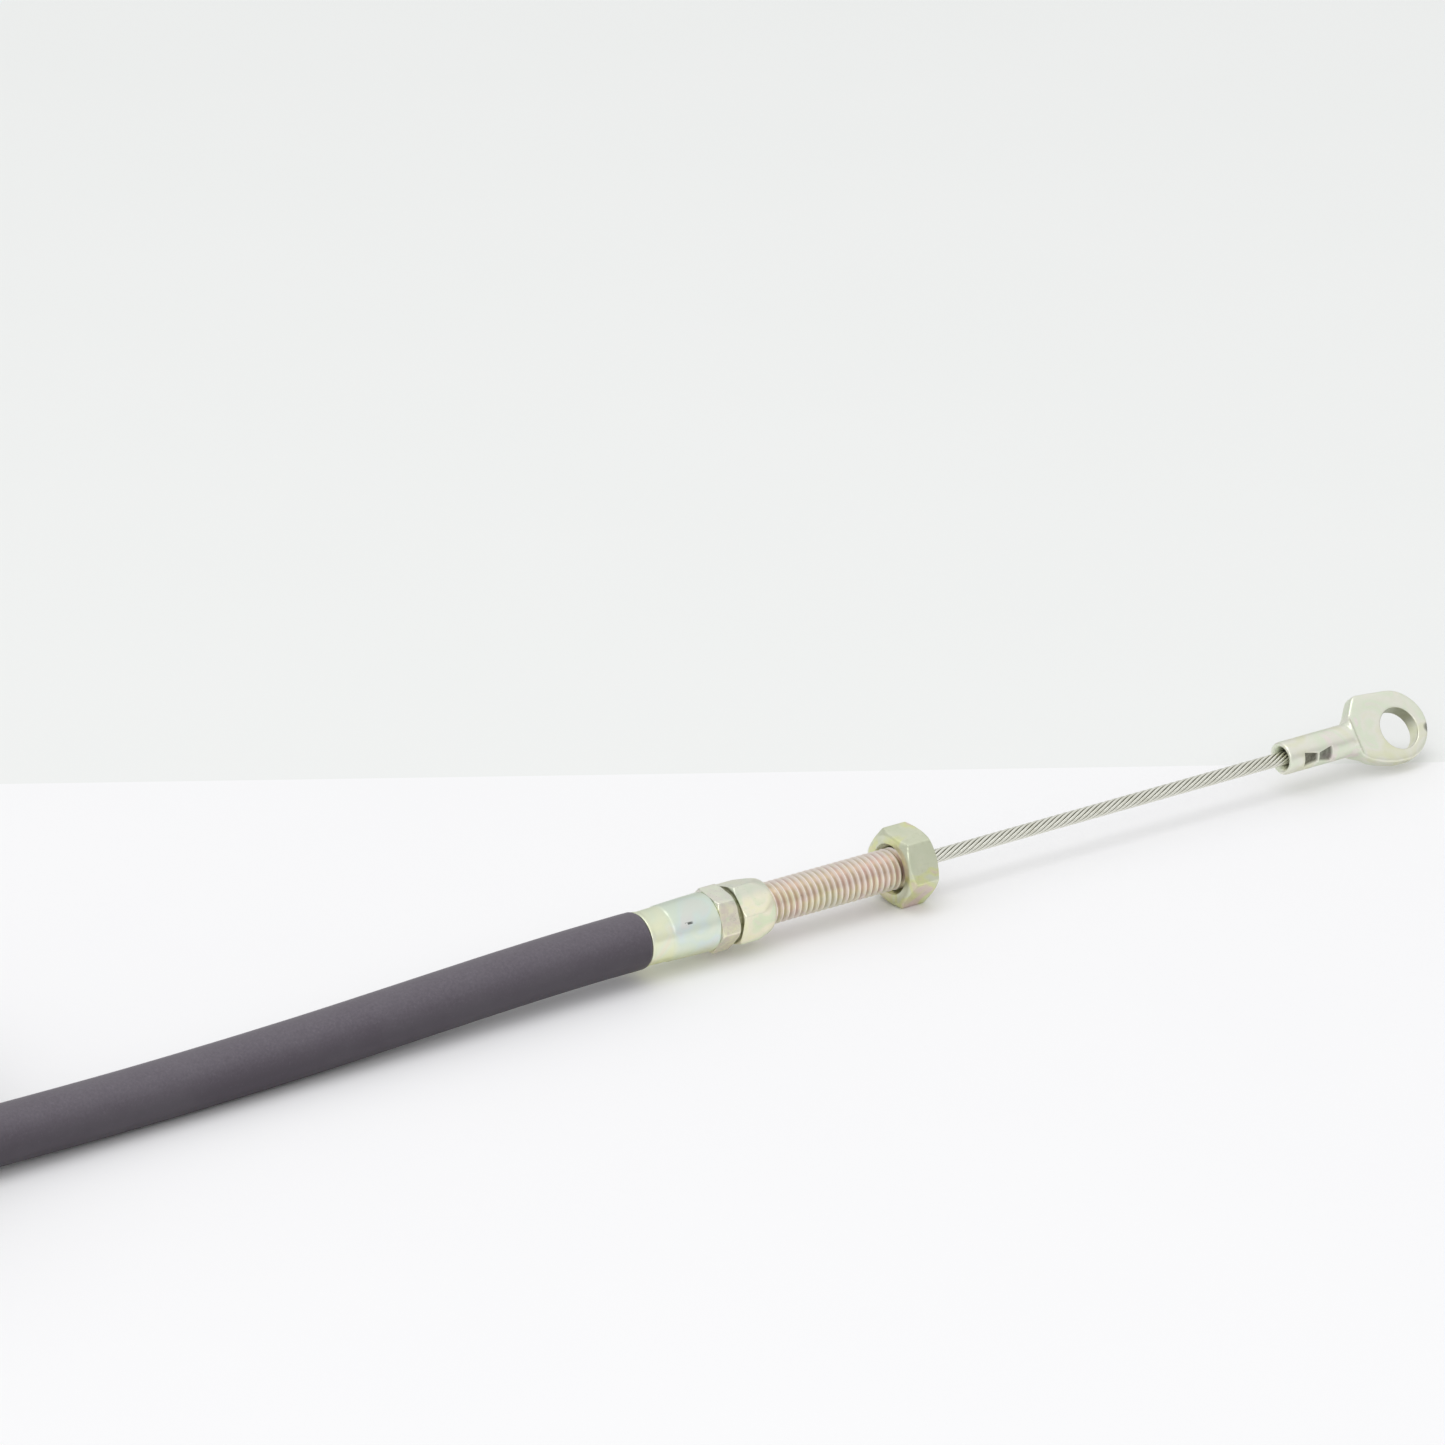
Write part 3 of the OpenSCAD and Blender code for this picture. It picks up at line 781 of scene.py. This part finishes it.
# ------------------------------------------------------------- inner wire
def strand_rope(name, x0, x1, y, z, lay=-12.5):
    """ten outer wires laid left-handed round a core, with the tail held straight"""
    bm = bmesh.new()
    rs, rc, sides = 0.226, 0.749, 12
    steps = max(8, int((x1 - x0) / 0.42))
    for s in range(10):
        rings = []
        for i in range(steps + 1):
            x = x0 + (x1 - x0) * i / steps
            ph = 2 * math.pi * ((x / lay) + s / 10.0)
            rr = rc + 0.003 * noise.noise(Vector((x * 0.2, s * 3.1, 0.3)))
            c = Vector((x, -rr * math.sin(ph), rr * math.cos(ph)))
            w = 2 * math.pi / lay
            t = Vector((1, -rr * math.cos(ph) * w, -rr * math.sin(ph) * w)).normalized()
            out = Vector((0, -math.sin(ph), math.cos(ph)))
            b = t.cross(out).normalized()
            out = b.cross(t)
            rings.append([bm.verts.new(c + out * (rs * math.cos(2 * math.pi * (k + 0.5) / sides)) +
                                       b * (rs * math.sin(2 * math.pi * (k + 0.5) / sides))) for k in range(sides)])
        for i in range(steps):
            strip(bm, rings[i], rings[i + 1])
        bm.faces.new(rings[0][::-1])
        bm.faces.new(rings[-1])
    core = []
    cs = max(4, int((x1 - x0) / 4))
    for i in range(cs + 1):
        x = x0 + 0.02 + (x1 - x0 - 0.04) * i / cs
        core.append([bm.verts.new(polar(x, 0.57, 15 * k)) for k in range(24)])
    for i in range(cs):
        strip(bm, core[i], core[i + 1])
    bm.faces.new(core[0][::-1])
    bm.faces.new(core[-1])
    return finish_mesh(name, bm, (0, y, z), [M_WIRE], sharp=50)


# ------------------------------------------------------------- eye
EYE_W = Vector((0, math.sin(math.radians(39)), math.cos(math.radians(39))))
EYE_N = Vector((0, -math.cos(math.radians(39)), math.sin(math.radians(39))))


def eye(name, origin, material):
    """pressed end: round shank crimped on the wire, flattened and flared into a drilled tab"""
    L, sr, hole = 25.5, 2.375, 3.1
    cx, cr = 20.2, 5.3                  # round end
    hx, hw_ = 20.5, -0.6                # centre of the hole

    def line(x, pts):
        for (xa, ya), (xb, yb) in zip(pts, pts[1:]):
            if x <= xb:
                return ya + (yb - ya) * (x - xa) / (xb - xa)
        return pts[-1][1]

    def arc(x):
        return math.sqrt(max(0.0, cr * cr - (x - cx) ** 2))

    def top(x):
        return arc(x) if x > cx else line(x, [(-1, sr), (12.0, sr), (12.5, 2.55), (13.2, 3.35), (14.6, 5.2), (15.1, 5.6),
                                             (15.6, 5.7), (17.6, 5.55), (cx, cr)])

    def bot(x):
        return -arc(x) if x > cx else line(x, [(-1, -sr), (11.7, -sr), (12.4, -2.6), (14.2, -4.0), (16.2, -4.75),
                                              (18.3, -5.25), (cx, -cr)])

    def thick(x):
        """half thickness across the flat"""
        return sr + (1.2 - sr) * smooth01((x - 12.0) / 1.15)

    bm = bmesh.new()
    n = 96

    def section(x):
        """closed ring at x: a circle on the shank, turning into a rounded bar"""
        wt, wb, ht = top(x), bot(x), thick(x)
        mid, half = 0.5 * (wt + wb), 0.5 * (wt - wb)
        sq = 2.0 + 8.0 * smooth01((x - 11.6) / 1.6)      # superellipse power
        pts = []
        for k in range(n):
            a = 2 * math.pi * k / n
            c, s_ = math.cos(a), math.sin(a)
            q = (abs(c) ** sq + abs(s_) ** sq) ** (-1.0 / sq)
            pts.append(Vector((x, 0, 0)) + EYE_W * (mid + half * c * q) + EYE_N * (ht * s_ * q))
        return pts

    xs = [0.0, 0.08, 0.2, 0.36, 0.55, 0.8]
    while xs[-1] < 11.4:
        xs.append(xs[-1] + 0.45)
    while xs[-1] < 15.8:
        xs.append(xs[-1] + 0.16)
    while xs[-1] < 23.5:
        xs.append(xs[-1] + 0.35)
    while xs[-1] < L - 0.35:
        xs.append(xs[-1] + 0.16)
    xs += [L - 0.2, L - 0.1, L - 0.04, L - 0.01]
    outer = []
    for x in xs:
        e = 0.2 * (1 - math.sqrt(max(0.0, 1 - (1 - min(x / 0.36, 1.0)) ** 2)))
        ring_pts = section(x)
        if e > 0:
            ring_pts = [Vector((x, 0, 0)) + (p - Vector((x, 0, 0))) * (1 - e / sr) for p in ring_pts]
        outer.append([bm.verts.new(p) for p in ring_pts])
    for i in range(len(outer) - 1):
        strip(bm, outer[i], outer[i + 1])
    tip = bm.verts.new(Vector((L, 0, 0)))
    for k in range(n):
        bm.faces.new([outer[-1][k], outer[-1][(k + 1) % n], tip])
    # bore with its chamfered mouth
    bore = []
    for x, r in [(0.0, 1.95), (0.06, 1.85), (0.3, 1.66), (1.5, 1.02), (1.7, 1.0), (6.0, 1.0), (10.75, 1.0)]:
        bore.append([bm.verts.new(Vector((x, 0, 0)) + EYE_W * (r * math.cos(2 * math.pi * k / n)) +
                                  EYE_N * (r * math.sin(2 * math.pi * k / n))) for k in range(n)])
    strip(bm, bore[0], outer[0])
    for i in range(len(bore) - 1):
        strip(bm, bore[i + 1], bore[i])
    bm.faces.new(bore[-1])
    bmesh.ops.recalc_face_normals(bm, faces=bm.faces)
    body = bpy.data.meshes.new(name + "_raw")
    bm.to_mesh(body)
    bm.free()
    ob = add_object(name + "_raw", body)

    # hole drilled square to the flat, both rims eased by a cone
    cut = bmesh.new()
    cr_rows = []
    for h, r in [(-3.0, hole + 1.6), (-1.32, hole + 0.12), (-1.08, hole), (1.08, hole), (1.32, hole + 0.12),
                 (3.0, hole + 1.6)]:
        c = Vector((hx, 0, 0)) + EYE_W * hw_ + EYE_N * h
        cr_rows.append([cut.verts.new(c + Vector((1, 0, 0)) * (r * math.cos(2 * math.pi * k / 120)) +
                                      EYE_W * (r * math.sin(2 * math.pi * k / 120))) for k in range(120)])
    for i in range(len(cr_rows) - 1):
        strip(cut, cr_rows[i], cr_rows[i + 1])
    cut.faces.new(cr_rows[0][::-1])
    cut.faces.new(cr_rows[-1])
    bmesh.ops.recalc_face_normals(cut, faces=cut.faces)
    cme = bpy.data.meshes.new(name + "_cut")
    cut.to_mesh(cme)
    cut.free()
    cob = add_object(name + "_cut", cme)
    md = ob.modifiers.new("drill", "BOOLEAN")
    md.operation = "DIFFERENCE"
    md.solver = "EXACT"
    md.object = cob
    vx = ob.modifiers.new("vox", "REMESH")
    vx.mode = "VOXEL"
    vx.voxel_size = 0.11
    vx.adaptivity = 0.0
    dg = bpy.context.evaluated_depsgraph_get()
    me2 = bpy.data.meshes.new_from_object(ob.evaluated_get(dg))
    bpy.data.objects.remove(ob)
    bpy.data.objects.remove(cob)

    bm = bmesh.new()
    bm.from_mesh(me2)
    bpy.data.meshes.remove(me2)
    for _ in range(3):
        bmesh.ops.smooth_vert(bm, verts=bm.verts, factor=0.5, use_axis_x=True, use_axis_y=True, use_axis_z=True)
    # two crimp bites on the camera side and two opposite
    ca = math.radians(96)
    bite = Vector((0, -math.sin(ca), math.cos(ca)))
    across = Vector((0, math.cos(ca), math.sin(ca)))
    for v in bm.verts:
        p = v.co
        rr = math.hypot(p.y, p.z)
        if p.x > 9.5 or rr < 1.6:
            continue
        for sgn in (1, -1):
            d = p.dot(bite) * sgn
            if d <= 0.6:
                continue
            w = p.dot(across)
            for c, hw, dep, out in ((3.85, 1.3, 0.55, -1), (6.45, 1.3, 0.5, 1)):
                fx = 1 - smooth01((abs(p.x - c) - hw + 0.3) / 0.3)
                tall = 0.42 + 0.22 * max(0.0, (p.x - c) * out + 0.9)
                fw = 1 - smooth01((abs(w) - tall) / 0.45)
                v.co = v.co - bite * sgn * (dep * fx * fw * smooth01((d - 1.1) / 0.7))
    for v in bm.verts:
        nz = noise.noise(v.co * 0.6) * 0.02
        v.co = v.co + v.normal * nz
    return finish_mesh(name, bm, origin, [material], sharp=None, tidy=1e-5)


# ------------------------------------------------------------- ties
def tie(name, x, y):
    """a nylon strap drawn round two stacked lengths, its head on top and the tail cut short"""
    bm = bmesh.new()
    cz, ri, t, hw, st = 9.0, 4.02, 0.92, 1.75, 4.0

    def loop(s, r):
        """point and outward direction at share s of the stadium round the two lengths"""
        straight, arc = 2 * st, math.pi * 4.5
        tot = 2 * straight + 2 * arc
        d = (s % 1.0) * tot
        if d < straight:                       # down the -Y side
            return Vector((0, -r, cz + st - d)), Vector((0, -1, 0))
        d -= straight
        if d < arc:
            a = math.pi * d / arc
            o = Vector((0, -math.cos(a), -math.sin(a)))
            return Vector((0, 0, cz - st)) + o * r, o
        d -= arc
        if d < straight:
            return Vector((0, r, cz - st + d)), Vector((0, 1, 0))
        d -= straight
        a = math.pi * d / arc
        o = Vector((0, math.cos(a), math.sin(a)))
        return Vector((0, 0, cz + st)) + o * r, o

    N = 132
    prof = [(-hw, 0.12), (-hw, t - 0.22), (-hw + 0.12, t - 0.06), (-hw + 0.35, t), (-0.9, t), (0, t), (0.9, t),
            (hw - 0.35, t), (hw - 0.12, t - 0.06), (hw, t - 0.22), (hw, 0.12), (hw - 0.12, 0.0), (0.6, 0.0),
            (-0.6, 0.0), (-hw + 0.12, 0.0)]
    rings = []
    for i in range(N):
        p, o = loop(i / N, ri)
        rings.append([bm.verts.new(Vector((x + px, y, 0)) + p + o * h) for px, h in prof])
    for i in range(N):
        strip(bm, rings[i], rings[(i + 1) % N])

    def rounded_box(lo, hi, r, taper=0.0):
        """soft-edged block, built ring by ring in z"""
        cxy = Vector(((lo[0] + hi[0]) / 2, (lo[1] + hi[1]) / 2, 0))
        hx, hy = (hi[0] - lo[0]) / 2, (hi[1] - lo[1]) / 2
        levels = []
        H = hi[2] - lo[2]
        for z, ins in ((0, r * 0.6), (r * 0.3, r * 0.18), (r, 0), (H - r, 0), (H - r * 0.35, r * 0.2), (H, r * 0.75)):
            g = taper * z / H
            ring = []
            for k in range(48):
                a = 2 * math.pi * (k + 0.5) / 48
                c, s_ = math.cos(a), math.sin(a)
                q = (abs(c) ** 7 + abs(s_) ** 7) ** (-1 / 7)
                ring.append(bm.verts.new(cxy + Vector(((hx - ins - g) * c * q, (hy - ins - g) * s_ * q, lo[2] + z))))
            levels.append(ring)
        for i in range(len(levels) - 1):
            strip(bm, levels[i], levels[i + 1])
        bm.faces.new(levels[0][::-1])
        bm.faces.new(levels[-1])

    rounded_box((x - 2.5, y - 2.6, 17.75), (x + 2.5, y + 2.6, 20.7), 0.55, 0.12)
    # the tail, cut a few millimetres past the head
    tail = []
    for i in range(9):
        u = i / 8.0
        yy = y + 2.2 + 4.6 * u
        zz = 19.2 + 0.35 * math.sin(u * 1.4)
        rise = 0.05 if i % 2 else 0.0
        tail.append([bm.verts.new(Vector((x + px, yy, zz + pz))) for px, pz in
                     ((-1.65, 0.1), (-1.65, 0.8), (-1.5, 0.95 + rise), (0, 0.95 + rise), (1.5, 0.95 + rise),
                      (1.65, 0.8), (1.65, 0.1), (1.5, 0.0), (0, 0.0), (-1.5, 0.0))])
    for i in range(8):
        strip(bm, tail[i], tail[i + 1])
    bm.faces.new(tail[0][::-1])
    bm.faces.new(tail[-1])
    return finish_mesh(name, bm, (0, 0, 0), [M_TIE], sharp=38)


# ------------------------------------------------------------- build both ends
def one_end(tag, shift, eye_x, wire_x0):
    o = NEAR + shift
    fe = ferrule(tag + "_sleeve", o + Vector((X_FER, 0, 0)))
    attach(fe, "root"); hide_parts(tag + "_ferrule")
    hb = hub(tag + "_threaded_hub", o + Vector((X_HUB, 0, 0)))
    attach(hb, "root"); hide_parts(tag + "_hub")
    nt = nut(tag + "_hex_nut", o + Vector((X_NUT, 0, 0)))
    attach(nt, tag + "_nut"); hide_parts(tag + "_mounting_nut")
    wr = strand_rope(tag + "_strand", wire_x0, eye_x + 10.65, o.y, o.z)
    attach(wr, tag + "_core"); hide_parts(tag + "_inner_wire")
    ey = eye(tag + "_crimped_eye", Vector((eye_x, o.y, o.z)), M_EYE)
    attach(ey, tag + "_core"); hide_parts(tag + "_eye")
    return fe, hb, nt, wr, ey


near_set = one_end("near", Vector((0, 0, 0)), X_EYE, -27.25)
far_set = one_end("far", FAR_SHIFT, FAR_EYE_X, -317.0)

ties = []
for i, (tx, ty) in enumerate([(-225, -3), (-315, -3), (-341, 49)]):
    tb = tie("hank_strap_%d" % (i + 1), tx, ty)
    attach(tb, "root")
    ties.append(tb)
for tb in ties:
    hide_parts("hank_ties")

for node_name, mat in (("near_liner", M_LINER), ("far_liner", M_LINER), ("conduit_liner", M_LINER),
                       ("conduit_armour", M_ARMOUR), ("conduit_wire", M_CORE)):
    ob = NODES[node_name]
    if not ob.material_slots:
        ob.data.materials.append(mat)
    for sl in ob.material_slots:
        sl.material = mat

# ------------------------------------------------------------- stage and light
AH = Vector((math.sin(AZIM), math.cos(AZIM), 0))
FLOOR_A, FLOOR_B = (0.90, 0.90, 0.915), (0.915, 0.915, 0.925)
WALL_A, WALL_B = (0.835, 0.85, 0.842), (0.85, 0.86, 0.855)


def stage_plane(name, corners, colour, mix_to, rough):
    me = bpy.data.meshes.new(name)
    me.from_pydata(corners, [], [[0, 1, 2, 3]])
    ob = add_object(name, me)
    m = Mat(name)
    nz = m.noise(m.place(local=False), 0.02, 3.0, 0.5)
    m.set(Base_Color=m.mix(nz, colour, mix_to), Roughness=rough, Specular_IOR_Level=0.2)
    me.materials.append(m.m)
    return ob


def ground(lat, dep):
    p = R * lat + AH * dep
    return (p.x, p.y, 0.0)


# the pale grey ground starts a little behind the eye, on this line (lateral, depth), in metres
EDGE = [(-0.15, 0.0), (0.15, 0.0)]
for i, (px, py) in enumerate([(0.0, 784.0), (1445.0, 762.0)]):
    d = V + R * ((px - 722.5) / F_PX) - U * ((py - 722.5) / F_PX)
    g = CAM - d * (CAM.z / d.z)
    EDGE[i] = (g.dot(R) * MM, g.dot(AH) * MM)
slope = (EDGE[1][1] - EDGE[0][1]) / (EDGE[1][0] - EDGE[0][0])


def edge(lat):
    return ground(lat, EDGE[0][1] + slope * (lat - EDGE[0][0]))


stage_plane("floor", [ground(-4, -4), ground(4, -4), edge(4), edge(-4)], FLOOR_A, FLOOR_B, 0.6)
stage_plane("backdrop", [edge(-4), edge(4), ground(8, 14), ground(-8, 14)], WALL_A, WALL_B, 0.7)


def area(name, loc, target, size, power, colour=(1, 1, 1)):
    ld = bpy.data.lights.new(name, "AREA")
    ld.shape = "RECTANGLE"
    ld.size, ld.size_y = size
    ld.energy = power
    ld.color = colour
    ob = bpy.data.objects.new(name, ld)
    bpy.context.scene.collection.objects.link(ob)
    ob.location = loc
    d = (Vector(target) - Vector(loc)).normalized()
    ob.rotation_euler = d.to_track_quat("-Z", "Y").to_euler()
    return ob


area("key", (-0.25, -0.05, 1.3), (0, 0, 0), (0.9, 0.9), 3.0)
area("front", (-0.9, -1.1, 0.75), (-0.02, 0, 0), (0.9, 0.6), 3.0)
world = bpy.data.worlds.new("world")
bpy.context.scene.world = world
world.use_nodes = True
bg = world.node_tree.nodes.get("Background")
wt = world.node_tree
up = wt.nodes.new("ShaderNodeSeparateXYZ")
wt.links.new(wt.nodes.new("ShaderNodeTexCoord").outputs["Generated"], up.inputs[0])
sky = wt.nodes.new("ShaderNodeValToRGB")
sky.color_ramp.interpolation = "B_SPLINE"
for i, (pos, v) in enumerate([(0.0, 0.9), (0.12, 0.6), (0.36, 0.72), (0.62, 1.2), (1.0, 1.25)]):
    e = sky.color_ramp.elements[i] if i < 2 else sky.color_ramp.elements.new(pos)
    e.position = pos
    e.color = (v, v, v * 0.99, 1)
wt.links.new(up.outputs[2], sky.inputs[0])
wt.links.new(sky.outputs[0], bg.inputs[0])
bg.inputs[1].default_value = 0.9
bpy.context.scene.view_settings.view_transform = "Standard"
bpy.context.scene.view_settings.look = "None"
